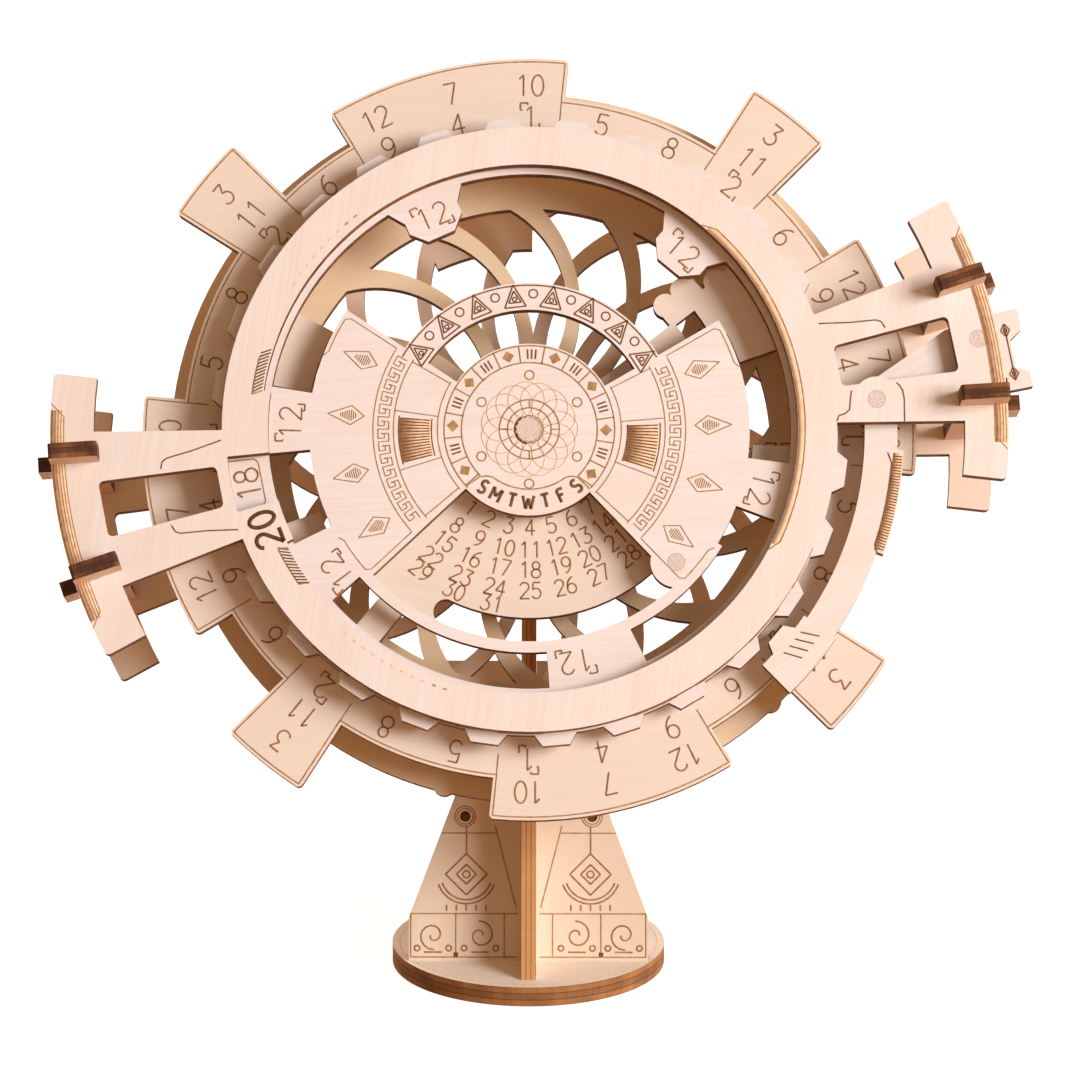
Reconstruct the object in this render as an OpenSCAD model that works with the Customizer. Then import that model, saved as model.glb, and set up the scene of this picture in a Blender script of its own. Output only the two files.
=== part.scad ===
// Perpetual desk calendar, cut from plywood sheet.
// A dial leans back on a small round-foot stand. On one dowel sit, from the
// front: the year and weekday plate (fixed), the month wheel with its date
// table (turns) and the frame of bezel, brackets and rear rosette (turns).
// A latch on the right bracket holds the frame between the year teeth.
// Millimetres, +Z up, the front faces -Y, origin at the foot's underside.

/* [Sheet and fits] */
// Thickness of the plywood sheet
sheet_t = 3; // [2.6:0.1:3.4]
// Thickness of the round foot
base_t = 4; // [3:0.5:6]
// Gap between layers that turn past each other
play = 0.3; // [0.2:0.05:0.4]
// Clearance each side of a glued slot or dowel hole
fit = 0.05; // [0.02:0.01:0.1]
// Clearance round a dowel that something turns on
run = 0.08; // [0.04:0.01:0.1]
// Gap between a stop dowel and what it stops
stop_gap = 0.3; // [0.2:0.05:0.5]

/* [Placement of the dial] */
// How far the dial leans back, degrees
tilt = 24.5; // [20:0.5:28]
// Height of the bezel's front centre above the table
hub_h = 117.4; // [116:0.2:124]
// How far that centre sits in front of the foot's middle
hub_out = 20; // [16:0.5:23]
// How far the year plate sits off the upright, degrees
year_turn = -1.5; // [-3:0.1:3]

/* [Layers, from the front] */
// Gap between the year plate and the month plate
month_gap = 3; // [2.6:0.1:3.4]
// Length of the blocks between the month plate and its back wheel
block_len = 7.5; // [5:0.5:9]
// Front face of the bezel to the front face of the rear frame
frame_depth = 36.7; // [32:0.1:42]
// Gap between the rear frame and the stand
stand_gap = 4.1; // [3.8:0.1:6]

/* [Bezel and brackets] */
// Outer radius of the bezel
bezel_r = 60; // [59:0.1:61]
// Width of the bezel's ring
bezel_ring = 7.6; // [6:0.1:8.2]
// How much wider the ring is beside the year window
bezel_step = 1.4; // [0.8:0.1:2.4]
// Half width of a bracket, degrees
arm_half = 10.5; // [9.5:0.1:12]
// Length of a bracket's arms, from the bezel to the outer bar
arm_len = 25; // [22:0.5:28]
// Width of a bracket's outer bar
bar_w = 8.5; // [7.5:0.1:10]
// Half length of a bracket's outer bar, degrees
bar_half = 17.7; // [14:0.1:20]
// Wood left between a month window and the bezel's edge
window_rim = 1.4; // [1:0.1:3]
// Half width of a month window, degrees
window_half = 3.8; // [3:0.1:4.2]
// Wood left outside the year window
year_window_rim = 0.8; // [0.6:0.1:1.6]
// Half width of the year window, degrees
year_window_half = 5.4; // [4.8:0.1:5.8]
// Radius of the small rounded corners
corner_r = 1; // [0.5:0.1:1.3]

/* [Spacer boards] */
// Width of the spacer boards
board_width = 9.5; // [8.5:0.1:10.5]
// Depth of the laps in the outer bars
lap_depth = 5.2; // [4:0.1:6]
// Angle of a board off the bracket's middle, degrees
board_half = 7.5; // [6.9:0.1:8]
// How far a board stands out in front
board_nose = 6.5; // [3:0.5:9]
// How far a board stands out behind
board_heel = 2.4; // [1.5:0.1:2.6]
// Reach of the ear beyond the bar
ear_out = 3.2; // [1:0.1:4]
// Front of the ear, behind the bezel's front face
ear_w = 8; // [6:0.5:12]
// Length of the ear
ear_len = 8; // [5:0.5:12]

/* [Year plate] */
// How far the year teeth stand out of the bezel
tooth_out = 2.4; // [1.8:0.1:2.6]
// Height of the year teeth
tooth_h = 2.1; // [1.8:0.1:2.4]
// Half width of a tooth at its tip
tooth_tip = 2.65; // [2:0.05:2.9]
// Half width of a tooth at its root
tooth_foot = 4; // [3.5:0.05:4.2]
// Width of the year ring
year_ring = 9.1; // [8.9:0.1:10]
// Gap between the wings and the year ring
wing_gap = 8.1; // [7.4:0.1:8.8]
// Width of the band under the date window
band_w = 2.2; // [1.6:0.1:3]
// How far that band stands out of the wings
band_step = 1; // [0.7:0.1:1.6]
// Inner and outer radius of the arch over the disc
arch_in = 23.9; // [22:0.1:25.5]
arch_out = 29.3; // [27:0.1:32]
// Radius of the weekday disc
disc_r = 17.1; // [16:0.1:18]
// Distance of the ear's pin from the wing's rim
ear_inset = 4.3; // [3.7:0.1:4.6]
// Radius of the wing's rounded ear
ear_r = 5; // [4.4:0.1:5.6]
// Length of the leap-year tabs
leap_len = 8.8; // [7.5:0.1:9]
// Width of the leap-year tabs
leap_w = 11.2; // [10:0.1:12]
// Width of the leap-year tabs at their root
leap_root_w = 16.6; // [15:0.1:18]

/* [Month wheel] */
// How far the month plate's plain labels stand out of the bezel
label_row = 8.2; // [7.6:0.1:9]
// Height of the second row of labels
label_row_2 = 8; // [7:0.1:9]
// Gap between the long tabs and the spacer boards
tab_gap = 1; // [0.6:0.1:2]
// How far the month plate's ring reaches in behind the bezel
month_under = 6.5; // [5.5:0.1:7.4]
// Gap left at each side of a tab, degrees
tab_relief = 0.3; // [0.1:0.05:0.6]
// Gap between the date table and the ear dowel
date_gap = 0.7; // [0.5:0.1:1.7]
// Width of the arm from the date table to the ring
date_arm_w = 5.5; // [4:0.1:7]
// Depth of the web between the date table and that arm
date_web = 6.6; // [5.5:0.1:7]
// How far the wheel turns anticlockwise before that web meets the ear dowel, degrees
travel_back = 73; // [64:0.5:77]
// Length of the ring's inward lugs
lug_len = 9.5; // [7.5:0.1:10.5]
// How far the back wheel stands out of the bezel
wheel_out = 11.4; // [10.6:0.1:13]
// Width of the back wheel's ring
wheel_ring = 23.4; // [22.6:0.1:24.4]
// Depth of the solid panel inside that ring
wheel_panel = 6.6; // [3.5:0.1:9]
// Radius of the lobes at the open end of the date table
lobe_r = 2.4; // [1.5:0.1:2.6]

/* [Rosettes] */
// Width of a rosette arm in the middle
rose_w = 2.7; // [2.2:0.1:3.4]
// Radius of the back wheel's arms, along their outer side
rose_wheel_rho = 30.2; // [29:0.1:31.5]
// Radius of the rear frame's arms, along their outer side
rose_frame_rho = 31; // [30:0.1:32.5]
// How much tighter an arm's inner side is, which widens its root at the ring
rose_flare = 7.5; // [5:0.1:8.5]
// How far the outer sides' circles of the wheel's arms pass the dial's centre
rose_wheel_pass = 4.1; // [3:0.1:5]
// The same for the rear frame's arms
rose_frame_pass = 6; // [5:0.1:7]
// Width of the rear frame's ring
rear_ring = 6.6; // [6:0.1:8]
// Depth of the solid panel inside the rear frame's ring
rear_panel = 9.9; // [6:0.1:12]

/* [Dowels] */
// Radius of the centre dowel
dowel_r = 2.6; // [2.3:0.1:3]
// Radius of the small dowels
pin_r = 1.7; // [1.5:0.1:1.9]
// Outer radius of the sleeves and spacers on the centre dowel
sleeve_r = 7; // [6:0.5:9]
// Outer radius of the washers on the small dowels
washer_r = 4.4; // [3.5:0.1:4.6]

/* [Year latch] */
// Distance of the latch's pivot from the bezel
latch_pivot_out = 8; // [7.6:0.1:8.6]
// Angle of the pivot below the bracket's middle, degrees
latch_pivot_a = 6.7; // [6.4:0.1:7.2]
// Radius of the latch's boss
latch_boss_r = 5; // [4:0.1:5.4]
// Gap between the bezel and the latch's long arm
latch_gap = 5.6; // [5.2:0.1:6.5]
// Width of that arm
latch_w = 6.4; // [5:0.1:8]
// How far the thumb edge stands out of the arm
thumb_out = 1.3; // [0.6:0.1:3]
// Half width of the nose at its tip
nose_tip = 2.2; // [1.5:0.1:2.3]
// Half width of the nose where it leaves the head
nose_foot = 3.5; // [3:0.1:3.6]
// Length of the nose
nose_len = 2.2; // [1.9:0.1:2.4]
// How far the latch's tail reaches above and below the stop dowel
tail_up = 3.6; // [3.2:0.1:4.5]
tail_down = 8.2; // [6:0.1:8.5]
// How far the handle reaches above and below the stop dowel
handle_up = 5; // [4:0.1:6]
handle_down = 10.8; // [9:0.1:11.5]
// Reach of the handle beyond the outer bar
handle_out = 5; // [4:0.1:7]
// How far the latch swings open, its nose away from the teeth, degrees
latch_open = 4; // [3:0.5:5]
// How far the latch drops, its nose between two teeth, degrees
latch_drop = 2; // [1.5:0.1:2.2]

/* [Stand] */
// Radius of the round foot
base_r = 27.8; // [27:0.1:34]
// How far the back plate stands behind the rib's front edge
plate_setback = 10.1; // [8:0.1:11]
// Half width of the back plate at the foot
plate_half = 24.2; // [20:0.1:24.5]
// Half width of the back plate at its waist
waist_half = 13.5; // [10:0.1:16]
// Half width of the back plate at its top
plate_top_half = 25.7; // [18:0.1:28]
// Height of the back plate's straight foot, along its face
plate_foot_h = 9; // [6:0.5:14]
// Top edge of the back plate, below the centre of the dial
plate_top_v = 38.7; // [34:0.1:44]
// Radius of the two discs that hold the centre dowel
cheek_r = 12; // [9:0.5:16]
// Distance between those two discs
cheek_pitch = 13.2; // [10:0.1:16]
// Depth of the rib behind the rear disc
rib_tail = 6; // [4:0.5:9]
// Where the rib's back edge meets the foot, behind the middle
rib_heel = 18; // [14:0.5:22]
// Radius of the two round holes in the back plate
eye_r = 1.1; // [0.6:0.1:1.8]
// Distance of those holes from the middle
eye_x = 12.9; // [11:0.1:13.5]
// Height of those holes up the plate
eye_h = 29.4; // [24:0.2:31]
// Height of the back plate's waist, up its face
waist_h = 37.6; // [33:0.1:42]
// Height of the back plate's straight top
plate_top_h = 7.3; // [5:0.1:12]
// Inner and outer edge of the back plate's tenons, from the middle
tenon_in = 6; // [5:0.5:8]
tenon_out = 14; // [11:0.5:16]
// Height of the rib's upright back edge
rib_back_h = 14; // [8:0.5:20]
// Length of the rib's tenons
rib_tenon = 6; // [4:0.5:8]

/* [Hidden] */
$fn = 96;

wood = "#ead2ae";
wood_shade = "#d9b98d";
dowel_wood = "#dcbf96";

bezel_in = bezel_r - bezel_ring;
bezel_step_in = bezel_in - bezel_step;
bar_in = bezel_r + arm_len;
bar_out = bar_in + bar_w;
window_in = bezel_r + window_rim;
window_out = bar_in - 0.5;
year_window_r = bezel_r - year_window_rim;
board_in = bar_out - board_width;
board_lap = bar_out - lap_depth;
month_r = bezel_r + label_row;
month_wide_r = month_r + label_row_2;
month_tab_r = board_in - tab_gap;
month_in = bezel_r - month_under;
lug_in = month_in - lug_len;
wheel_r = bezel_r + wheel_out;
wheel_in = wheel_r - wheel_ring;
wheel_panel_in = wheel_in - wheel_panel;
rear_in = bezel_r - rear_ring;
tooth_r = bezel_r + tooth_out;
year_root = tooth_r - tooth_h;
year_in = year_root - year_ring;
leap_in = year_in - leap_len;
wing_r = year_in - wing_gap;
band_out = wing_r + band_step;
band_in = band_out - band_w;
ear_pin_r = wing_r - ear_inset;
date_r = ear_pin_r - pin_r - date_gap;
latch_pivot_r = bezel_r + latch_pivot_out;
latch_in = bezel_r + latch_gap;
latch_out = latch_in + latch_w;
thumb_r = latch_out + thumb_out;
stop_r = (bar_in + bar_out) / 2 + 0.25;

labels = 28;
step = 360 / labels;
frame_turn = step + year_turn;
over = 1;

// Depth of each layer behind the bezel's front face
year_w = sheet_t + play;
month_w = year_w + sheet_t + month_gap;
wheel_w = month_w + sheet_t + block_len;
rear_w = frame_depth;
hub_ring_w = rear_w - sheet_t;
stand_w = rear_w + sheet_t + stand_gap;
cheek_w = stand_w + sheet_t;
plate_w = stand_w + plate_setback;
rear_cheek_w = stand_w + cheek_pitch;
dowel_end_w = rear_cheek_w + sheet_t;
rib_back_w = dowel_end_w + rib_tail;

// Month plate: groups of labels start at these steps, four times round
group_size = 3;
group_mid = 8;
tab_mid = 4;
repeat = 7;
first_date_step = 18;
date_columns = 13;
date_start = (first_date_step - 0.75) * step;
date_end = (first_date_step + date_columns) * step;
travel_steps = 6;
lugs = [[28.5, 9], [350.5, 7], [160.5, 8.5], [206.5, 6]];
block_r = (wheel_in + month_in) / 2;
block_half = 4;

// Positions on the frame, measured from the middle of the right bracket
latch_nose_a = -4 * step;
latch_head_in = tooth_r + play + nose_len;
latch_head_half = 5.6;
pivot = polar(latch_pivot_r, -latch_pivot_a);
stop_at = [stop_r, 0];
pivot_to_stop = norm(stop_at - pivot);
stop_dir = atan2(stop_at.y - pivot.y, stop_at.x - pivot.x);

// The ear dowel stops the month wheel's two arms, each after its travel
ear_a = 319;
ear_pin = polar(ear_pin_r, ear_a);
date_stop = ear_a + year_turn + travel_steps * step + asin((pin_r + stop_gap) / ear_pin_r) - 360;

// Stand: distances below the dial's centre, along the leaning plate
foot_v = (base_t - hub_h + plate_w * sin(tilt)) / cos(tilt);
rib_foot_v = (base_t - hub_h + stand_w * sin(tilt)) / cos(tilt);
lap_v = (foot_v - plate_top_v) / 2;
waist_v = foot_v + waist_h;
rib_foot_y = dial_yz(rib_foot_v, stand_w).x;

function polar(r, a) = [r * cos(a), r * sin(a)];

// A list of points followed by its mirror image across the x axis
function both_sides(half) =
    concat(half, [for (i = [len(half) - 1:-1:0]) [half[i].x, -half[i].y]]);

// A point of the dial, v up its face and w behind its front, as [y, z]
function dial_yz(v, w) = [-hub_out + w * cos(tilt) + v * sin(tilt),
                          hub_h + v * cos(tilt) - w * sin(tilt)];

// Places children drawn on the dial's front face, facing the viewer
module on_dial() {
    translate([0, -hub_out, hub_h]) rotate([90 - tilt, 0, 0]) children();
}

// One sheet of the dial: its front face lies w behind the bezel's front
module layer(w, t = sheet_t) {
    on_dial() translate([0, 0, -w - t]) linear_extrude(t) children();
}

module annulus(r_out, r_in) {
    difference() {
        circle(r_out);
        circle(r_in);
    }
}

// A pie slice from angle a0 to a1, wide enough to cut anything of radius r
module slice(r, a0, a1) {
    parts = ceil((a1 - a0) / 60);
    reach = r / cos(30) * 1.05;
    polygon(concat([[0, 0]], [for (i = [0:parts]) polar(reach, a0 + (a1 - a0) * i / parts)]));
}

module sector(r_in, r_out, a0, a1) {
    difference() {
        intersection() {
            circle(r_out);
            slice(r_out, a0, a1);
        }
        circle(r_in);
    }
}

// Points of a round corner about c, from direction a0 to a1
function corner_arc(c, r, a0, a1, n = 4) =
    [for (i = [0:n]) c + polar(r, a0 + (a1 - a0) * i / n)];

// A sector about angle 0 whose two outer corners are round
module tab(r_in, r_out, half, corner = corner_r) {
    // the corner's circle runs a hair past the outer edge, so that the two cross
    c_r = r_out - 0.95 * corner;
    c_a = half - asin(corner / c_r);
    far = 1.3 * r_out;
    difference() {
        intersection() {
            circle(r_out);
            polygon(concat([[0, 0]], corner_arc(polar(c_r, -c_a), corner, -half - 90, -c_a),
                           [polar(far, -0.98 * c_a), polar(far, 0.98 * c_a)],
                           corner_arc(polar(c_r, c_a), corner, c_a, half + 90)));
        }
        circle(r_in);
    }
}

// A slot about angle 0 with radial sides, straight ends and round corners
module slot_sector(r_in, r_out, half, corner = corner_r) {
    function centre(x, s) = [x, s * (x * tan(half) - corner / cos(half))];
    outer = r_out - corner;
    inner = r_in + corner;
    polygon(concat(corner_arc(centre(outer, -1), corner, -90 - half, 0),
                   corner_arc(centre(outer, 1), corner, 0, 90 + half),
                   corner_arc(centre(inner, 1), corner, 90 + half, 180),
                   corner_arc(centre(inner, -1), corner, 180, 270 - half)));
}

// Curved arms from the hub to the ring; side -1 bends them one way, 1 the other.
// An arm lies between two circles, of which the inner is tighter.
module rosette(count, rho, pass, phase, side, r_hub, r_ring) {
    outer = [rho + pass, 0];
    inner = outer + polar(rose_flare - rose_w, side * 122);
    intersection() {
        annulus(r_ring + over / 2, r_hub - over / 2);
        for (k = [0:count - 1]) rotate(phase + k * 360 / count) intersection() {
            difference() {
                translate(outer) circle(rho);
                translate(inner) circle(rho - rose_flare);
            }
            translate([0, side > 0 ? 0 : -2 * r_ring]) square(2 * r_ring);
        }
    }
}

// ---- Stand ----

module plate_outline() {
    slope_v = foot_v + plate_foot_h;
    half = [[plate_half, foot_v], [plate_half, slope_v], [waist_half, waist_v],
            [plate_top_half, -plate_top_v - plate_top_h], [plate_top_half, -plate_top_v]];
    polygon(concat(half, [for (i = [len(half) - 1:-1:0]) [-half[i].x, half[i].y]]));
}

// The two tongues of the back plate that pass through the foot, grown by g
module plate_tongues(g = 0) {
    tongue_v = foot_v - (base_t + 2 * over) / cos(tilt);
    for (s = [-1, 1]) {
        x0 = s > 0 ? tenon_in - g : -tenon_out - g;
        on_dial() translate([x0, tongue_v, -plate_w - sheet_t - g])
            cube([tenon_out - tenon_in + 2 * g, foot_v + over - tongue_v,
                  sheet_t + 2 * g]);
    }
}

// The rib's tongues through the foot, in front of and behind the back plate
module rib_tongues(g = 0) {
    for (y = [rib_foot_y + sheet_t, rib_heel - sheet_t - rib_tenon])
        translate([-sheet_t / 2 - g, y - g, -over])
            cube([sheet_t + 2 * g, rib_tenon + 2 * g, base_t + over + (g > 0 ? over : 0)]);
}

module above_table() {
    intersection() {
        children();
        translate([-200, -200, 0]) cube(400);
    }
}

module base_disc() {
    color(wood) difference() {
        cylinder(r = base_r, h = base_t);
        plate_tongues(fit);
        rib_tongues(fit);
    }
}

module stand_plate() {
    color(wood) {
        difference() {
            layer(plate_w) difference() {
                plate_outline();
                translate([-sheet_t / 2 - fit, lap_v - fit])
                    square([sheet_t + 2 * fit, -plate_top_v - lap_v + over]);
                for (s = [-1, 1]) translate([s * eye_x, foot_v + eye_h]) circle(eye_r);
            }
            translate([-200, -200, -400 + base_t]) cube(400);
        }
        above_table() intersection() {
            plate_tongues();
            translate([-100, -100, 0]) cube([200, 200, base_t]);
        }
    }
}

module stand_rib() {
    saddle_v = -dowel_r - fit;
    outline = [dial_yz(rib_foot_v, stand_w), dial_yz(-cheek_r, stand_w),
               dial_yz(-cheek_r, cheek_w), dial_yz(saddle_v, cheek_w),
               dial_yz(saddle_v, rear_cheek_w - fit), dial_yz(-cheek_r / 2, rear_cheek_w - fit),
               dial_yz(-cheek_r / 2, dowel_end_w + fit), dial_yz(cheek_r / 2, dowel_end_w + fit),
               dial_yz(cheek_r / 2, rib_back_w), dial_yz(-cheek_r, rib_back_w),
               [rib_heel, base_t + rib_back_h], [rib_heel, base_t]];
    color(wood) {
        difference() {
            translate([-sheet_t / 2, 0, 0]) rotate([90, 0, 90])
                linear_extrude(sheet_t) polygon(outline);
            on_dial() translate([-sheet_t, foot_v - 4 * over, -plate_w - sheet_t - fit])
                cube([2 * sheet_t, lap_v - foot_v + 4 * over + fit, sheet_t + 2 * fit]);
        }
        above_table() rib_tongues();
    }
}

module hub_disc_front() {
    color(wood) layer(stand_w) annulus(cheek_r, dowel_r + fit);
}

module hub_disc_rear() {
    color(wood) layer(rear_cheek_w) difference() {
        annulus(cheek_r, dowel_r + fit);
        translate([-sheet_t / 2 - fit, -cheek_r - over])
            square([sheet_t + 2 * fit, cheek_r / 2 + over + fit]);
    }
}

// ---- Dowels, sleeves and spacers ----

module on_dowel(w, t, r_out, r_in) {
    layer(w, t) annulus(r_out, r_in);
}

module centre_dowel() {
    color(dowel_wood) layer(year_w, dowel_end_w - year_w) circle(dowel_r);
}

module front_spacer() {
    color(wood) on_dowel(year_w + sheet_t, month_gap - play, sleeve_r, dowel_r + fit);
}

module middle_spacer() {
    front = wheel_w + sheet_t + play;
    color(wood) on_dowel(front, hub_ring_w - play - front, sleeve_r, dowel_r + fit);
}

module rear_spacer() {
    color(wood) on_dowel(rear_w + sheet_t + play, stand_gap - play, sleeve_r, dowel_r + fit);
}

// ---- Year plate ----

module year_teeth() {
    for (k = [0:labels - 1]) rotate((k + 0.5) * step)
        polygon([[year_root - over, -tooth_foot], [year_root, -tooth_foot],
                 [tooth_r, -tooth_tip], [tooth_r, tooth_tip],
                 [year_root, tooth_foot], [year_root - over, tooth_foot]]);
}

module leap_tab() {
    chamfer = leap_w / 4;
    shoulder = (leap_root_w - leap_w) / 2;
    half = [[year_in + 4 * over, leap_root_w / 2], [year_in, leap_root_w / 2],
            [year_in - 1.4 * shoulder, leap_w / 2], [leap_in + chamfer, leap_w / 2],
            [leap_in, leap_w / 2 - chamfer]];
    polygon(both_sides(half));
}

module wings() {
    sector(disc_r - over, wing_r, 148, 225);
    sector(disc_r - over, wing_r, -45, 32);
    sector(band_in, band_out, 212, 330);
    sector(arch_in, arch_out, 20, 160);
    // webs that tie the wings and the band to the year ring, under leap-year numbers
    sector(wing_r - over, year_in + over, 172, 187);
    sector(wing_r - over, year_in + over, 208, 223);
    sector(wing_r - over, year_in + over, 341, 354);
    sector(band_out - over, year_in + over, 276, 298);
    // rounded ear at the end of the right wing
    translate(ear_pin) circle(ear_r);
}

module year_plate() {
    color(wood) layer(year_w) rotate(year_turn) difference() {
        union() {
            annulus(year_root, year_in);
            year_teeth();
            for (k = [4, 9]) rotate(k * step) leap_tab();
            wings();
            circle(disc_r);
        }
        circle(dowel_r + fit);
        translate(ear_pin) circle(pin_r + fit);
    }
}

module ear_dowel() {
    color(dowel_wood) layer(year_w, month_w + sheet_t + over - year_w)
        rotate(year_turn) translate(ear_pin) circle(pin_r);
}

module ear_washer() {
    color(wood) layer(year_w + sheet_t, month_gap - play)
        rotate(year_turn) translate(ear_pin) annulus(washer_r, pin_r + fit);
}

// ---- Month wheel ----

module month_outline() {
    annulus(month_r, month_in);
    for (k = [0:3]) {
        rotate((tab_mid + repeat * k) * step)
            tab(month_in + over, month_tab_r, step / 2 - tab_relief);
        rotate((group_mid + repeat * k) * step)
            tab(month_in + over, month_wide_r, group_size * step / 2 - 2 * tab_relief);
    }
}

// The arm at the table's first column. Its web ends in a round notch, which
// takes in the ear dowel when the wheel has gone its full travel that way.
module date_start_arm() {
    notch_r = pin_r + date_gap + 0.1;
    notch_a = ear_a + year_turn - travel_back + asin((notch_r - pin_r - stop_gap) / ear_pin_r);
    rotate(first_date_step * step) translate([date_r - over, -date_arm_w / 2])
        square([month_in - date_r + 2 * over, date_arm_w]);
    difference() {
        sector(date_r - over, date_r + date_web, date_start - 1, notch_a);
        translate(polar(ear_pin_r, notch_a)) circle(notch_r);
    }
}

// The arm at the open end of the date table, with a scalloped edge. It meets
// the ear dowel when the wheel has gone its full travel.
module date_end_arm() {
    track_out = ear_pin_r + pin_r + 2 * stop_gap;
    sector(date_r - over, lug_in + over, date_stop, date_stop + 7);
    sector(track_out, lug_in + over, date_stop - 10, date_stop + over);
    sector(lug_in, month_in + over, lugs[0][0], date_stop + 3);
    for (p = [[date_r + 1, 6.5], [lug_in - 2, 6.5], [lug_in + 4, 2.5]])
        translate(polar(p[0], date_stop + p[1])) circle(lobe_r);
}

module month_date_plate() {
    color(wood) layer(month_w) difference() {
        union() {
            month_outline();
            for (g = lugs) rotate(g[0]) sector(lug_in, month_in + over, -g[1], g[1]);
            sector(0, date_r, date_start, date_end);
            circle(disc_r - 3);
            date_start_arm();
            date_end_arm();
        }
        circle(dowel_r + run);
    }
}

module month_back_wheel() {
    color(wood_shade) layer(wheel_w) difference() {
        union() {
            annulus(wheel_r, wheel_in);
            rosette(16, rose_wheel_rho, rose_wheel_pass, 13.3, -1, 13, wheel_in);
            circle(13);
            sector(wheel_panel_in, wheel_in + over, 20, 40);
            polygon([polar(wheel_panel_in, 40 - over), polar(wheel_in + over, 40 - over),
                     polar(wheel_in + over, 49), polar(wheel_panel_in, 40)]);
            for (a = [256.3, 312.9]) translate(polar(wheel_r - 1.4, a)) circle(2.2);
        }
        circle(dowel_r + run);
    }
}

module month_sleeve() {
    color(wood) on_dowel(month_w + sheet_t, block_len, sleeve_r, dowel_r + run);
}

module month_block(a) {
    color(wood) layer(month_w + sheet_t, block_len) rotate(a)
        translate([block_r - sheet_t / 2, -block_half]) square([sheet_t, 2 * block_half]);
}

// ---- Frame ----

// Arms and outer bar of the bracket about angle 0, with the month window cut
// and the two notches in which the spacer boards lap
module bracket() {
    notch_w = sheet_t + 2 * fit;
    difference() {
        union() {
            sector(bezel_r - over, bar_in + over, -arm_half, arm_half);
            tab(bar_in, bar_out, bar_half);
        }
        slot_sector(window_in, window_out, window_half);
        for (s = [-1, 1]) rotate(s * board_half)
            translate([board_lap, -notch_w / 2]) square([bar_out, notch_w]);
    }
}

module front_frame() {
    color(wood) layer(0) rotate(frame_turn) difference() {
        union() {
            annulus(bezel_r, bezel_in);
            sector(bezel_step_in, bezel_in + over, 161, 194.6);
            bracket();
            rotate(180) bracket();
            translate(pivot) circle(latch_boss_r - 0.5);
        }
        sector(0, year_window_r, 180 - year_window_half, 180 + year_window_half);
        translate(pivot) circle(pin_r + fit);
        translate(stop_at) circle(pin_r + fit);
    }
}

module rear_frame() {
    color(wood_shade) layer(rear_w) rotate(frame_turn) difference() {
        union() {
            annulus(bezel_r, rear_in);
            bracket();
            rotate(180) bracket();
            rosette(16, rose_frame_rho, rose_frame_pass, 10.2 - frame_turn, 1, 11, rear_in);
            circle(11);
            sector(rear_in - rear_panel, rear_in + over, 78, 104);
        }
        circle(dowel_r + run);
    }
}

module frame_hub_ring() {
    color(wood) on_dowel(hub_ring_w, sheet_t, sleeve_r + 1, dowel_r + run);
}

// Board that ties the front and rear brackets, drawn as radius against depth
module board_outline() {
    c = 0.6;
    front = -board_nose;
    back = rear_w + sheet_t + board_heel;
    lap = board_lap + fit;
    polygon([[board_in + c, front], [bar_out - c, front], [bar_out, front + c],
             [bar_out, ear_w], [bar_out + ear_out, ear_w], [bar_out + ear_out, ear_w + ear_len],
             [bar_out, ear_w + ear_len], [bar_out, back - c], [bar_out - c, back],
             [board_in + c, back], [board_in, back - c],
             [board_in, rear_w + sheet_t + fit], [lap, rear_w + sheet_t + fit],
             [lap, rear_w - fit], [board_in, rear_w - fit],
             [board_in, sheet_t + fit], [lap, sheet_t + fit],
             [lap, -fit], [board_in, -fit], [board_in, front + c]]);
}

module spacer_board(a) {
    color(wood_shade) on_dial() rotate(frame_turn + a) rotate([-90, 0, 0])
        translate([0, 0, -sheet_t / 2]) linear_extrude(sheet_t) board_outline();
}

// ---- Year latch ----

module latch_pivot_dowel() {
    color(dowel_wood) layer(0, year_w + 2 * sheet_t + play - 0.4)
        rotate(frame_turn) translate(pivot) circle(pin_r);
}

module latch_stop_dowel() {
    color(dowel_wood) layer(0, year_w + sheet_t + 1.5)
        rotate(frame_turn) translate(stop_at) circle(pin_r);
}

module latch_washer() {
    color(wood) layer(year_w + sheet_t + play, month_gap - 3 * play)
        rotate(frame_turn) translate(pivot) annulus(washer_r, pin_r + fit);
}

module stop_slot() {
    slot_half = pin_r + stop_gap;
    a0 = stop_dir - latch_open;
    a1 = stop_dir + latch_drop;
    mid = (a0 + a1) / 2;
    translate(pivot) polygon(concat(
        [polar(pivot_to_stop + slot_half, mid)],
        corner_arc(polar(pivot_to_stop, a1), slot_half, a1, a1 + 180, 12),
        [polar(pivot_to_stop - slot_half, mid)],
        corner_arc(polar(pivot_to_stop, a0), slot_half, a0 + 180, a0 + 360, 12)));
}

// Two horns with a dip between them, outside the bar
module latch_handle() {
    tip = bar_out + handle_out;
    dip = bar_out + handle_out / 2;
    horn = 0.27 * (handle_up + handle_down);
    polygon([[bar_out + play, -handle_down], [tip, -handle_down], [tip, -handle_down + horn / 1.4],
             [dip, -handle_down + horn], [dip, handle_up - 1.4 * horn], [tip, handle_up - horn],
             [tip + play, handle_up - horn / 4], [tip, handle_up], [bar_out + play, handle_up]]);
}

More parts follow.
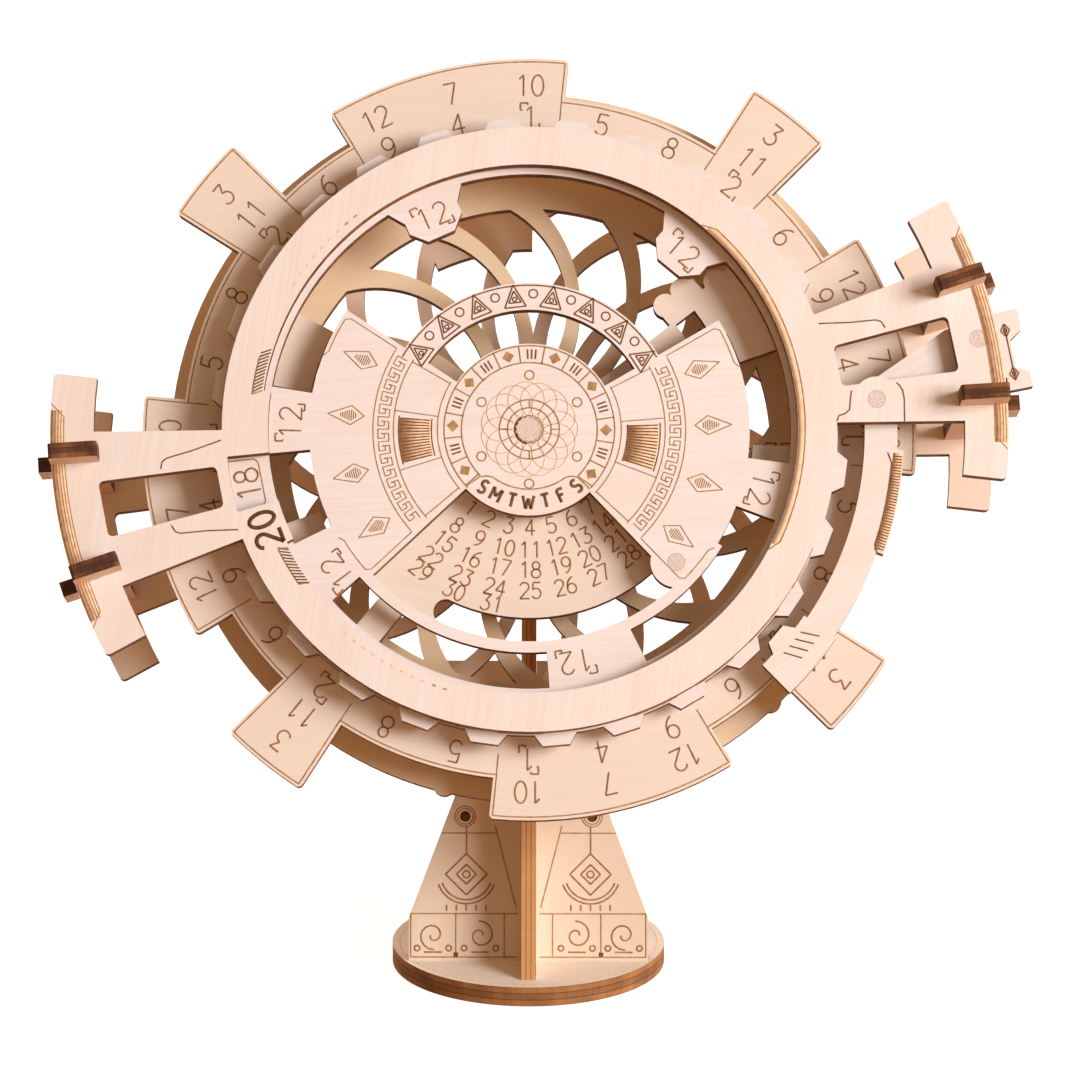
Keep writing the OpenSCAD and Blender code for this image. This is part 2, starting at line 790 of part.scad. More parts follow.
module latch_outline() {
    head_a = latch_nose_a + 1;
    translate(pivot) circle(latch_boss_r);
    sector(latch_in, latch_out, head_a, -latch_pivot_a - 1);
    sector(latch_in + 2 * over, thumb_r, -31, -14.5);
    sector(latch_head_in, latch_out + 0.5, latch_nose_a - latch_head_half,
           latch_nose_a + latch_head_half);
    rotate(latch_nose_a) polygon([[latch_in + 2 * over, nose_foot],
        [latch_head_in + 0.2, nose_foot], [latch_head_in - nose_len, nose_tip],
        [latch_head_in - nose_len, -nose_tip], [latch_head_in + 0.2, -nose_foot],
        [latch_in + 2 * over, -nose_foot]]);
    neck = 0.86 * latch_boss_r;
    polygon([[pivot.x, pivot.y - neck], [bar_in - over, over - tail_down],
             [bar_out + over, -tail_down], [bar_out + over, tail_up],
             [bar_in - over, tail_up], [pivot.x, pivot.y + neck]]);
    latch_handle();
}

module year_latch() {
    color(wood) layer(year_w) rotate(frame_turn) difference() {
        latch_outline();
        translate(pivot) circle(pin_r + run);
        stop_slot();
    }
}

base_disc();
stand_plate();
stand_rib();
hub_disc_front();
hub_disc_rear();
centre_dowel();
year_plate();
front_spacer();
middle_spacer();
rear_spacer();
ear_dowel();
ear_washer();
month_date_plate();
month_back_wheel();
month_sleeve();
month_block(lugs[0][0]);  // month_block_upper_right
month_block(lugs[1][0]);  // month_block_lower_right
month_block(lugs[2][0]);  // month_block_upper_left
month_block(lugs[3][0]);  // month_block_lower_left
front_frame();
rear_frame();
frame_hub_ring();
spacer_board(180 - board_half);  // spacer_board_left_upper
spacer_board(180 + board_half);  // spacer_board_left_lower
spacer_board(board_half);  // spacer_board_right_upper
spacer_board(-board_half);  // spacer_board_right_lower
latch_pivot_dowel();
latch_stop_dowel();
latch_washer();
year_latch();
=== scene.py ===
import math

import bmesh
import bpy
from mathutils import Matrix, Vector


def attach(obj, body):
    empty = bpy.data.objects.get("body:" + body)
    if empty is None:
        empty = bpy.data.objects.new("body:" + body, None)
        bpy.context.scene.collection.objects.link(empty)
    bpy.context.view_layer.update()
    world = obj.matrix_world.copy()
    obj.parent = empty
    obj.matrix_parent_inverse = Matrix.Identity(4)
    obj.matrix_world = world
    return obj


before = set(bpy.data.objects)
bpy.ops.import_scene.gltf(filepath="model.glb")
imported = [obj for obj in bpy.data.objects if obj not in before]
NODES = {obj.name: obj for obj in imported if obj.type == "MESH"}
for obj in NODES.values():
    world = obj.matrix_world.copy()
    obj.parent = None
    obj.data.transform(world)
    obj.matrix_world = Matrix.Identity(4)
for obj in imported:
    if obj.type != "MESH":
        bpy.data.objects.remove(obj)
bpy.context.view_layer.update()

# ---- The dial's place, in millimetres as the CAD has it ----

MM = 0.001
TILT = math.radians(24.5)
HUB = Vector((0, -20, 117.4))
RIGHT = Vector((1, 0, 0))
UP = Vector((0, math.sin(TILT), math.cos(TILT)))
OUT = Vector((0, -math.cos(TILT), math.sin(TILT)))
STEP = 360 / 28
YEAR_TURN = -1.5
FRAME_TURN = STEP + YEAR_TURN

# Thickness of the sheets and of the foot, and the play beside a layer that turns
SHEET, FOOT_T, PLAY = 3.0, 4.0, 0.3

# How far each sheet's front face lies behind the bezel's
BEZEL_W, YEAR_W, MONTH_W, WHEEL_W = 0, 3.3, 9.3, 19.8
HUB_RING_W, REAR_W, DISC_W, PLATE_W, REAR_DISC_W = 33.7, 36.7, 43.8, 53.9, 57.0
FOOT_V = (FOOT_T - HUB.z + PLATE_W * math.sin(TILT)) / math.cos(TILT)

# Radii on the dial
MONTH_R, MONTH_WIDE_R, MONTH_TAB_R = 68.2, 76.2, 83
WING_R, ARCH_IN, ARCH_OUT = 43.1, 23.9, 29.3

# The latch's pivot: its radius, and how far it lies back from the bracket's middle
PIVOT_R, PIVOT_BACK = 68, 6.7

# Widths of the laser's lines: borders, then the numbers of each ring
FINE = 0.28
MONTH_LINE, DATE_LINE, YEAR_LINE, LEAP_LINE = 0.36, 0.33, 0.42, 0.34

# Thickness of an engraved line, and how far a tinted ground lies behind the lines on it
LINE_T, UNDER = 0.08, 0.02

# Face colours: the pale sanded wood; a darker, warmer copy of it that paints shade onto the sheets
# and blocks deep inside the calendar; and the wood of the stand's rib
PALE_WOOD, PAINTED_SHADE_WOOD, STAND_WOOD = "#f6ebe2", "#e8ca9f", "#ead7c2"
WOOD_IOR = 1.45

# Studio light: a key from low on the right, a weak fill in front, a lamp for the
# back of the calendar, and a dim warm sky. A lamp has its place in metres, its
# power in watts, its width in metres and its colour.
SKY_LIGHT, SKY_TINT, FLOOR_GLOW = 0.27, "#ffbb70", 0.84
LAMP_AIM = Vector((0, 0, 0.1))
LAMPS = {"key_lamp": ((1.8, -1.4, 0.92), 68, 1.1, "#fbfbff"),
         "fill_lamp": ((0.35, -1.4, 1.1), 1.2, 0.8, "#f4f8ff"),
         "back_lamp": ((-0.9, 1.7, 1.1), 18, 1.0, "#fff6ec")}

# Camera: its place in metres, its lens in mm and its turns in degrees
CAMERA_AT, CAMERA_LENS = (-0.0001, -0.9723, 0.3542), 169.9
CAMERA_PAN, CAMERA_TILT, CAMERA_ROLL = -0.05, 90 - 15.18, 0.13


def face_of_dial(w):
    """Matrix from a flat drawing in metres to the front of the sheet w behind the bezel."""
    place = Matrix((RIGHT, UP, OUT)).transposed().to_4x4()
    place.translation = (HUB - OUT * w) * MM
    return place


def along_dial(a):
    """The direction at an angle in the dial's plane."""
    return RIGHT * math.cos(math.radians(a)) + UP * math.sin(math.radians(a))


# ---- Nodes ----

def colour(code):
    """An sRGB hex colour as linear RGBA."""
    parts = [int(code[i:i + 2], 16) / 255 for i in (1, 3, 5)]
    return [c / 12.92 if c <= 0.04045 else ((c + 0.055) / 1.055) ** 2.4 for c in parts] + [1]


def add(tree, kind, inputs=None, **settings):
    """Adds a node with its settings; inputs maps a socket to a value, a hex colour or an output."""
    new = tree.nodes.new(kind)
    for key, value in settings.items():
        setattr(new, key, value)
    for key, value in (inputs or {}).items():
        if isinstance(value, bpy.types.NodeSocket):
            tree.links.new(value, new.inputs[key])
        else:
            new.inputs[key].default_value = colour(value) if isinstance(value, str) else value
    return new


def new_material(name):
    """A material and its empty tree."""
    material = bpy.data.materials.new(name)
    material.use_nodes = True
    material.node_tree.nodes.clear()
    return material, material.node_tree


def shade(tree, inputs):
    """Ends a material's tree with its shader."""
    shader = add(tree, "ShaderNodeBsdfPrincipled", inputs)
    add(tree, "ShaderNodeOutputMaterial", {"Surface": shader.outputs[0]})


def stretched(tree, place, axes):
    """Object coordinates measured along three axes, each in patches of its own length."""
    parts = [add(tree, "ShaderNodeVectorMath",
                 {0: place, 1: Vector(axis) / (length * MM)}, operation="DOT_PRODUCT")
             for axis, length in axes]
    return add(tree, "ShaderNodeCombineXYZ",
               {i: part.outputs["Value"] for i, part in enumerate(parts)}).outputs[0]


def toned(tree, pattern, low, high, share, base, tone):
    """A base colour under up to a share of a tone, as a pattern runs from low to high.
    Sockets 6 and 7 of the Mix node are its two colours."""
    amount = add(tree, "ShaderNodeMapRange", {0: pattern, 1: low, 2: high, 3: 0, 4: share})
    return add(tree, "ShaderNodeMix", {0: amount.outputs[0], 6: base, 7: tone},
               data_type="RGBA").outputs[2]


def facing(tree, normal, way):
    """How squarely a surface lies across a direction, from 0 to 1."""
    along = add(tree, "ShaderNodeVectorMath", {0: normal, 1: way}, operation="DOT_PRODUCT")
    return add(tree, "ShaderNodeMath", {0: along.outputs["Value"]}, operation="ABSOLUTE").outputs[0]


# ---- Wood ----

def sanded_face(tree, place, grain, across, back, face):
    """A sheet's face: fibres half a millimetre wide, drawn 25 mm long, and broader bands."""
    fibres = add(tree, "ShaderNodeTexNoise",
                 {"Vector": stretched(tree, place, ((grain, 25), (across, 0.55), (back, 3))),
                  "Scale": 1, "Detail": 3, "Roughness": 0.6}).outputs[0]
    bands = add(tree, "ShaderNodeTexNoise",
                {"Vector": stretched(tree, place, ((grain, 60), (across, 6), (back, 6))),
                 "Scale": 1, "Detail": 2, "Roughness": 0.5}).outputs[0]
    grained = toned(tree, fibres, 0.35, 0.75, 0.4, face, "#e7d0b9")
    return toned(tree, bands, 0.4, 0.75, 0.4, grained, "#edd9c6"), fibres


def burnt_edge(tree, place, grain, across, back, start, thickness, burn):
    """A sheet's edge: burnt patches about 6 mm long, fine burns, and a dark line of glue
    at each face of its three plies."""
    patches = add(tree, "ShaderNodeTexNoise", {"Vector": place, "Scale": 180, "Detail": 3})
    burns = add(tree, "ShaderNodeTexNoise",
                {"Vector": stretched(tree, place, ((grain, 0.5), (across, 0.5), (back, 8))),
                 "Scale": 1, "Detail": 1})
    edge = toned(tree, patches.outputs[0], 0.3 + 0.2 * burn, 0.7 + 0.2 * burn, 1,
                 "#4a230d", "#b3743a")
    edge = toned(tree, burns.outputs[0], 0.45, 0.7, 0.55, edge, "#6f3f20")
    edge = add(tree, "ShaderNodeMix", {0: max(0, -burn), 6: edge, 7: "#d9a066"},
               data_type="RGBA").outputs[2]

    depth = add(tree, "ShaderNodeVectorMath", {0: place, 1: back / MM / thickness},
                operation="DOT_PRODUCT").outputs["Value"]
    inside = add(tree, "ShaderNodeMath", {0: depth, 1: start / thickness}, operation="SUBTRACT")
    plies = add(tree, "ShaderNodeMath", {0: inside.outputs[0], 1: 3.0}, operation="MULTIPLY")
    middle = add(tree, "ShaderNodeMath", {0: plies.outputs[0], 1: 1.5, 2: 0.5},
                 operation="COMPARE")
    edge = toned(tree, middle.outputs[0], 0, 1, 0.4 + 0.5 * burn, edge, "#3f1e0d")
    to_glue = add(tree, "ShaderNodeMath", {0: plies.outputs[0], 1: 0.5}, operation="PINGPONG")
    return toned(tree, to_glue.outputs[0], 0.13, 0.02, 0.7, edge, "#2c140a")


# Basswood plywood, laser cut: the sanded faces are pale, satin and closely
# grained. The laser leaves the edges burnt brown and matt, with the glue lines
# between the plies as dark stripes and fine burns across the thickness.
def plywood(name, back, start, grain, thickness=SHEET, face=PALE_WOOD, burn=0.0):
    """back is the direction through the sheet, start where its front lies along it, in mm.
    A burn above 0 darkens the edge, most in its middle ply; one below 0 pales it."""
    material, tree = new_material(name)
    where = add(tree, "ShaderNodeTexCoord")
    place = where.outputs["Object"]
    across = back.cross(grain).normalized()
    grained, fibres = sanded_face(tree, place, grain, across, back, face)
    edge = burnt_edge(tree, place, grain, across, back, start, thickness, burn)
    flat = facing(tree, where.outputs["Normal"], back)
    roughness = add(tree, "ShaderNodeMapRange", {0: flat, 1: 0.6, 2: 0.8, 3: 0.85, 4: 0.58})
    bump = add(tree, "ShaderNodeBump", {"Height": fibres, "Distance": 0.00006, "Strength": 0.5})
    shade(tree, {"Base Color": toned(tree, flat, 0.6, 0.8, 1, edge, grained),
                 "Roughness": roughness.outputs[0], "IOR": WOOD_IOR, "Normal": bump.outputs[0]})
    return material


# Turned birch dowel: a smooth pale rod with long grain; its sawn end is pinker
# and shows fine pores, a third of a millimetre wide.
def dowel_wood():
    material, tree = new_material("birch_dowel_turned")
    where = add(tree, "ShaderNodeTexCoord")
    place = where.outputs["Object"]
    fibres = add(tree, "ShaderNodeTexNoise",
                 {"Vector": stretched(tree, place, ((OUT, 12), (RIGHT, 0.4), (UP, 0.4))),
                  "Scale": 1, "Detail": 3})
    pores = add(tree, "ShaderNodeTexNoise",
                {"Vector": stretched(tree, place, ((OUT, 20), (RIGHT, 0.35), (UP, 0.35))),
                 "Scale": 1, "Detail": 2})
    side = toned(tree, fibres.outputs[0], 0.35, 0.7, 1, "#ecd2a8", "#cfa674")
    end = toned(tree, pores.outputs[0], 0.4, 0.75, 1, "#e8d6ca", "#cfb5a3")
    flat = facing(tree, where.outputs["Normal"], OUT)
    shade(tree, {"Base Color": toned(tree, flat, 0.6, 0.8, 1, side, end), "Roughness": 0.6,
                 "IOR": WOOD_IOR})
    return material


# Line engraved by the laser: scorched wood, matt and brown, a little darker in
# spots about a millimetre wide, where the beam slowed down.
def engraved_wood(name, pale, dark):
    material, tree = new_material(name)
    place = add(tree, "ShaderNodeTexCoord").outputs["Object"]
    scorch = add(tree, "ShaderNodeTexNoise", {"Vector": place, "Scale": 900, "Detail": 2})
    shade(tree, {"Base Color": toned(tree, scorch.outputs[0], 0.35, 0.7, 1, pale, dark),
                 "Roughness": 0.85, "IOR": WOOD_IOR})
    return material


# From a faint tint to lines burnt deep
BURNT_PALE = engraved_wood("basswood_laser_tinted", "#f3d0ac", "#e6ba90")
BURNT_LINE = engraved_wood("basswood_laser_engraved", "#c29a6a", "#a07548")
BURNT_WARM = engraved_wood("basswood_laser_numbers", "#b5865a", "#8d6040")
BURNT_MID = engraved_wood("basswood_laser_cut_lines", "#8f643d", "#6b4224")
BURNT_DARK = engraved_wood("basswood_laser_scorched", "#6e4526", "#4b2a15")


# ---- Geometry Nodes ----

def new_tree(name, inputs):
    """A geometry tree with named inputs; returns the tree and its input sockets by name."""
    tree = bpy.data.node_groups.new(name, "GeometryNodeTree")
    for label, kind in inputs:
        tree.interface.new_socket(label, in_out="INPUT", socket_type="NodeSocket" + kind)
    tree.interface.new_socket("Result", in_out="OUTPUT", socket_type="NodeSocketGeometry")
    sockets = add(tree, "NodeGroupInput").outputs
    return tree, {label: sockets[label] for label, kind in inputs}


def end_tree(tree, geometry, finish):
    real = add(tree, "GeometryNodeRealizeInstances", {0: geometry})
    dressed = add(tree, "GeometryNodeSetMaterial", {0: real.outputs[0], "Material": finish})
    add(tree, "NodeGroupOutput", {0: dressed.outputs[0]})
    return tree


def engraving_tree():
    """Sweeps a flat strip along every line of a drawing."""
    tree, given = new_tree("engraved_lines", (
        ("Drawing", "Geometry"), ("Line width", "Float"), ("Line height", "Float"),
        ("Finish", "Material")))
    profile = add(tree, "GeometryNodeCurvePrimitiveQuadrilateral",
                  {"Width": given["Line width"], "Height": given["Line height"]})
    flat = add(tree, "GeometryNodeSetCurveNormal", {0: given["Drawing"]}, mode="Z_UP")
    swept = add(tree, "GeometryNodeCurveToMesh",
                {0: flat.outputs[0], 1: profile.outputs[0], "Fill Caps": True})
    return end_tree(tree, swept.outputs[0], given["Finish"])


def marks_tree():
    """Sets flat marks of any number of sides along an arc, turned with it."""
    tree, given = new_tree("marks_on_an_arc", (
        ("Start", "Geometry"), ("Radius", "Float"), ("From", "Float"), ("Pitch", "Float"),
        ("Count", "Int"), ("Sides", "Int"), ("Along radius", "Float"),
        ("Along arc", "Float"), ("Height", "Float"), ("Lean", "Float"),
        ("Corner turn", "Float"), ("Finish", "Material")))
    row = add(tree, "GeometryNodeMeshLine", {"Count": given["Count"]})
    index = add(tree, "GeometryNodeInputIndex").outputs[0]
    turned = add(tree, "ShaderNodeMath", {0: index, 1: given["Pitch"]}, operation="MULTIPLY")
    angle = add(tree, "ShaderNodeMath", {0: turned.outputs[0], 1: given["From"]}).outputs[0]
    cosine = add(tree, "ShaderNodeMath", {0: angle}, operation="COSINE")
    sine = add(tree, "ShaderNodeMath", {0: angle}, operation="SINE")
    unit = add(tree, "ShaderNodeCombineXYZ", {0: cosine.outputs[0], 1: sine.outputs[0]})
    spot = add(tree, "ShaderNodeVectorMath", {0: unit.outputs[0], "Scale": given["Radius"]},
               operation="SCALE")
    spots = add(tree, "GeometryNodeSetPosition", {0: row.outputs[0],
                                                  "Position": spot.outputs[0]})
    prism = add(tree, "GeometryNodeMeshCylinder",
                {"Vertices": given["Sides"], "Radius": 0.5, "Depth": given["Height"]})
    corners = add(tree, "ShaderNodeCombineXYZ", {2: given["Corner turn"]})
    mark = add(tree, "GeometryNodeTransform",
               {0: prism.outputs["Mesh"], "Rotation": corners.outputs[0]})
    leaning = add(tree, "ShaderNodeMath", {0: angle, 1: given["Lean"]})
    turn = add(tree, "ShaderNodeCombineXYZ", {2: leaning.outputs[0]})
    size = add(tree, "ShaderNodeCombineXYZ",
               {0: given["Along radius"], 1: given["Along arc"], 2: 1})
    marks = add(tree, "GeometryNodeInstanceOnPoints",
                {"Points": spots.outputs[0], "Instance": mark.outputs[0],
                 "Rotation": turn.outputs[0], "Scale": size.outputs[0]})
    return end_tree(tree, marks.outputs[0], given["Finish"])


ENGRAVING = engraving_tree()
MARKS = marks_tree()


def grown(name, data, tree, values, body, place):
    """Runs a tree on data, and keeps the result as a plain closed mesh on a body."""
    source = bpy.data.objects.new(name + "_source", data)
    bpy.context.scene.collection.objects.link(source)
    modifier = source.modifiers.new("grow", "NODES")
    modifier.node_group = tree
    for item in tree.interface.items_tree:
        if item.in_out == "INPUT" and item.name in values:
            modifier[item.identifier] = values[item.name]
    depsgraph = bpy.context.evaluated_depsgraph_get()
    mesh = bpy.data.meshes.new_from_object(source.evaluated_get(depsgraph))
    bpy.data.objects.remove(source)
    mesh.name = name
    shape = bmesh.new()
    shape.from_mesh(mesh)
    bmesh.ops.recalc_face_normals(shape, faces=shape.faces)
    shape.to_mesh(mesh)
    shape.free()
    mesh.transform(place)
    piece = bpy.data.objects.new(name, mesh)
    bpy.context.scene.collection.objects.link(piece)
    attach(piece, body)
    return piece


def unbent(stroke):
    """Parts of a stroke between its sharp corners, where one strip would pinch."""
    parts = [[stroke[0]]]
    for before, here, after in zip(stroke, stroke[1:], stroke[2:] + [None]):
        parts[-1].append(here)
        if after is None:
            continue
        came = math.atan2(here[1] - before[1], here[0] - before[0])
        goes = math.atan2(after[1] - here[1], after[0] - here[0])
        if math.cos(goes - came) < 0.7:
            parts.append([here])
    return parts


def engrave(name, body, place, strokes, width, finish=BURNT_LINE):
    """Engraves strokes, lists of points in mm on a flat face, into a piece of a body."""
    drawing = bpy.data.curves.new(name, "CURVE")
    drawing.dimensions = "3D"
    for points in (part for stroke in strokes for part in unbent(stroke)):
        closed = len(points) > 3 and math.dist(points[0], points[-1]) < 1e-6
        points = points[:-1] if closed else points
        line = drawing.splines.new("POLY")
        line.points.add(len(points) - 1)
        line.points.foreach_set("co", [c for x, y in points for c in (x * MM, y * MM, 0, 1)])
        line.use_cyclic_u = closed
    values = {"Line width": width * MM, "Line height": LINE_T * MM, "Finish": finish}
    return grown(name, drawing, ENGRAVING, values, body, place)


def mark_row(name, body, place, radius, start, pitch, count, size, sides=4, lean=0.0,
             finish=BURNT_LINE, centre=(0, 0)):
    """A row of flat marks along an arc; size is their length along the radius and the arc."""
    grow = math.sqrt(2) if sides == 4 else 1
    values = {"Radius": radius * MM, "From": math.radians(start), "Pitch": math.radians(pitch),
              "Count": count, "Sides": sides, "Along radius": size[0] * grow * MM,
              "Along arc": size[1] * grow * MM, "Height": LINE_T * MM,
              "Lean": math.radians(lean), "Corner turn": math.pi / sides, "Finish": finish}
    shift = Matrix.Translation((centre[0] * MM, centre[1] * MM, 0))
    return grown(name, bpy.data.meshes.new(name), MARKS, values, body, place @ shift)


# ---- Strokes: a stroke is a list of points in mm ----

def polar(r, a, centre=(0, 0)):
    return (centre[0] + r * math.cos(math.radians(a)), centre[1] + r * math.sin(math.radians(a)))


def arc(r, a0, a1, centre=(0, 0), chord=1.2):
    """Points of an arc from angle a0 to a1."""
    count = max(3, math.ceil(abs(math.radians(a1 - a0)) * r / chord))
    return [polar(r, a0 + (a1 - a0) * i / count, centre) for i in range(count + 1)]


def ring(r, centre=(0, 0)):
    points = arc(r, 0, 360, centre, chord=min(1.2, r / 3))
    return points[:-1] + points[:1]


def radial(a, r0, r1):
    return [polar(r0, a), polar(r1, a)]


def placed(strokes, at, turn, size=1.0):
    """Strokes scaled, turned and moved to a point."""
    c, s = size * math.cos(math.radians(turn)), size * math.sin(math.radians(turn))
    return [[(at[0] + x * c - y * s, at[1] + x * s + y * c) for x, y in stroke]
            for stroke in strokes]


def stepped_rim(sections, inset):
    """A line just inside a rim of arcs at several radii; sections are (from, to, radius)."""
    points = []
    for i, (a0, a1, r) in enumerate(sections):
        before, after = sections[i - 1][2], sections[(i + 1) % len(sections)][2]
        inner = r - inset
        shift = math.degrees(inset / inner)
        start = a0 + shift if before < r else a0 - shift
        end = a1 - shift if after < r else a1 + shift
        points += arc(inner, start, end)
    return points + points[:1]


# ---- Plain engraved figures, one unit high about their middle ----

def bow(x, y, rx, ry, a0, a1, count=9):
    turns = [math.radians(a0 + (a1 - a0) * i / count) for i in range(count + 1)]
    return [(x + rx * math.cos(t), y + ry * math.sin(t)) for t in turns]


def loop(x, y, rx, ry):
    points = bow(x, y, rx, ry, 0, 360, 16)
    return points[:-1] + points[:1]


SIX = [loop(0, -0.2, 0.27, 0.3), bow(0.22, -0.2, 0.49, 0.7, 97, 172, 6)]
FIGURES = {
    "0": [loop(0, 0, 0.27, 0.5)],
    "1": [[(-0.14, 0.3), (0.06, 0.5), (0.06, -0.5)]],
    "2": [bow(0, 0.23, 0.27, 0.27, 165, -35) + [(-0.28, -0.5), (0.29, -0.5)]],
    "3": [[(-0.25, 0.5), (0.24, 0.5), (-0.02, 0.1)] + bow(-0.02, -0.2, 0.29, 0.3, 90, -155)],
    "4": [[(0.12, -0.5), (0.12, 0.5), (-0.28, -0.2), (0.29, -0.2)]],
    "5": [[(0.24, 0.5), (-0.18, 0.5), (-0.22, 0.05)] + bow(0, -0.18, 0.28, 0.32, 130, -150)],
    "6": SIX,
    "7": [[(-0.28, 0.5), (0.28, 0.5), (-0.08, -0.5)]],
    "8": [loop(0, 0.26, 0.22, 0.24), loop(0, -0.23, 0.28, 0.27)],
    "9": placed(SIX, (0, 0), 180),
    "S": [bow(0, 0.25, 0.24, 0.25, 40, 250) + bow(0, -0.25, 0.26, 0.25, 80, -140)],
    "M": [[(-0.34, -0.5), (-0.34, 0.5), (0, -0.15), (0.34, 0.5), (0.34, -0.5)]],
    "T": [[(-0.3, 0.5), (0.3, 0.5)], [(0, 0.5), (0, -0.5)]],
    "W": [[(-0.42, 0.5), (-0.2, -0.5), (0, 0.3), (0.2, -0.5), (0.42, 0.5)]],
    "F": [[(-0.2, -0.5), (-0.2, 0.5), (0.26, 0.5)], [(-0.2, 0.05), (0.16, 0.05)]],
}


def written(text, height, r, a, inward=False, spacing=0.72):
    """A number at a polar place; its top points outward, or inward."""
    turn = a + 90 if inward else a - 90
    strokes = []
    for i, figure in enumerate(text):
        shift = (i - (len(text) - 1) / 2) * spacing
        strokes += placed(FIGURES[figure], (shift, 0), 0)
    return placed(strokes, polar(r, a), turn, height)


def boxed(text, height, r, a):
    """A number between two corner brackets, as the leap-year places have."""
    half = 0.42 * len(text) + 0.02
    corners = [[(0.08 - half, 0.32), (-half, 0.32), (-half, 0.66), (0.34 - half, 0.66),
                (0.34 - half, 0.56)],
               [(half, -0.3), (half, -0.64), (half - 0.3, -0.64), (half - 0.3, -0.54)]]
    return written(text, height, r, a, spacing=0.84) + placed(corners, polar(r, a), a - 90, height)


# ---- Month wheel ----

# Month numbers, outer and inner, at seven places that repeat round the ring; a
# bracketed one is for a leap year
MONTH_LABELS = {0: ("10", "[1]"), 1: ("7", "4"), 2: ("12", "9"), 3: ("", "6"),
                4: ("11", "[2]"), 5: ("", "8"), 6: ("", "5")}
MONTH_ROWS, MONTH_TAB_ROW, MONTH_HEIGHT = (70.7, 64.3), 77.5, 4.3

# The date table's rows and the height of its numbers
DATE_ROWS, DATE_HEIGHT = (18.5, 22.9, 26.9, 31.0, 34.3), 3.2


def month_labels():
    """Month numbers: seven places that repeat four times round the ring."""
    strokes = []
    for k in range(28):
        outer, inner = MONTH_LABELS[k % 7]
        for text, r in ((outer, MONTH_ROWS[0]), (inner, MONTH_ROWS[1])):
            draw = boxed if text.startswith("[") else written
            strokes += draw(text.strip("[]"), MONTH_HEIGHT, r, k * STEP)
        if k % 7 == 4:
            strokes += written("3", MONTH_HEIGHT, MONTH_TAB_ROW, k * STEP)
    engrave("month_numbers", "month_wheel", face_of_dial(MONTH_W), strokes,
            MONTH_LINE, BURNT_WARM)


def month_border():
    """Line that follows the rim, and the tabs' side lines, which run on inward."""
    sections, sides = [], []
    for k in range(4):
        mid = (4 + 7 * k) * STEP
        half, wide = STEP / 2 - 0.3, 1.5 * STEP - 0.6
        group = mid + 4 * STEP
        sections += [(mid - half, mid + half, MONTH_TAB_R),
                     (mid + half, group - wide, MONTH_R),
                     (group - wide, group + wide, MONTH_WIDE_R),
                     (group + wide, mid + 7 * STEP - half, MONTH_R)]
        sides += [radial(mid + s * (half - 0.5), 63.5, 67.6) for s in (-1, 1)]
        sides += [radial(group + s * (wide - 0.5), 63.5, 67.6) for s in (-1, 1)]
    engrave("month_border", "month_wheel", face_of_dial(MONTH_W),
            [stepped_rim(sections, 0.65)] + sides, FINE)


def date_table():
    """Days 1 to 31 in rows of seven, carried on for the columns that other months need."""
    strokes = []
    for column in range(13):
        a = (18 + column) * STEP + 0.5
        for row, r in enumerate(DATE_ROWS):
            day = 1 + column % 7 + 7 * row
            if day <= 31:
                strokes += written(str(day), DATE_HEIGHT, r, a, inward=True)
    engrave("date_numbers", "month_wheel", face_of_dial(MONTH_W), strokes,
            DATE_LINE, BURNT_WARM)


def back_wheel_lines():
    """Short key patterns on the back wheel's panels."""
    key = [[(-3, -1.2), (-1.4, -1.2), (-1.4, 1.2), (0.6, 1.2), (0.6, -0.4), (1.8, -0.4),
            (1.8, 1.2), (3.4, 1.2)]]
    strokes = []
    for r, a in ((48, 24), (48.4, 359), (47.2, 205)):
        strokes += placed(key, polar(r, a), a)
    engrave("back_wheel_keys", "month_wheel", face_of_dial(WHEEL_W), strokes, FINE, BURNT_MID)


# ---- Year plate ----

LEAP_HEIGHT, LEAP_R = 4.3, 46.8
YEAR_HEIGHT, YEAR_R = 4.7, 56.1


def year_cell(a):
    """Outline with cut corners round one year."""
    corners = ((59.2, 5), (54.2, 5), (53.4, 4.2), (53.4, -4.2), (54.2, -5), (59.2, -5),
               (60, -4.2))
    return arc(60, a - 4.2, a + 4.2) + [polar(r, a + turn) for r, turn in corners]


def year_numbers():
    """Years in their cells; every fifth place names a leap year's tab instead."""
    years, leap, cells = [], [], []
    year = 18
    for k in range(15, 43):
        a = k * STEP + YEAR_TURN
        if k % 5 == 2:
            leap += boxed("12", LEAP_HEIGHT, LEAP_R, a)
        else:
            years += written(str(year), YEAR_HEIGHT, YEAR_R, a)
            cells.append(year_cell(a))
            year += 1
    place = face_of_dial(YEAR_W)
    engrave("year_numbers", "stand", place, years, YEAR_LINE, BURNT_WARM)
    engrave("leap_numbers", "stand", place, leap, LEAP_LINE, BURNT_WARM)
    engrave("year_cells", "stand", place, cells, FINE)


# Angles of the letters from Sunday to Saturday
WEEKDAYS = (231.9, 243.4, 256.5, 269.3, 282.7, 295.6, 309.3)


def weekday_letters():
    """Seven letters in an outlined band with rounded ends."""
    strokes = []
    for letter, a in zip("SMTWTFS", WEEKDAYS):
        strokes += written(letter, 2.6, 14.5, a, inward=True)
    place = face_of_dial(YEAR_W)
    engrave("weekday_letters", "stand", place, strokes, 0.6, BURNT_MID)
    band = [polar(16.7, 222.5), polar(13.6, 224.3), polar(12.4, 228.5), *arc(11.9, 233, 307),
            polar(12.4, 311.5), polar(13.6, 315.7), polar(16.7, 317.5)]
    engrave("weekday_band", "stand", place, [band], FINE)


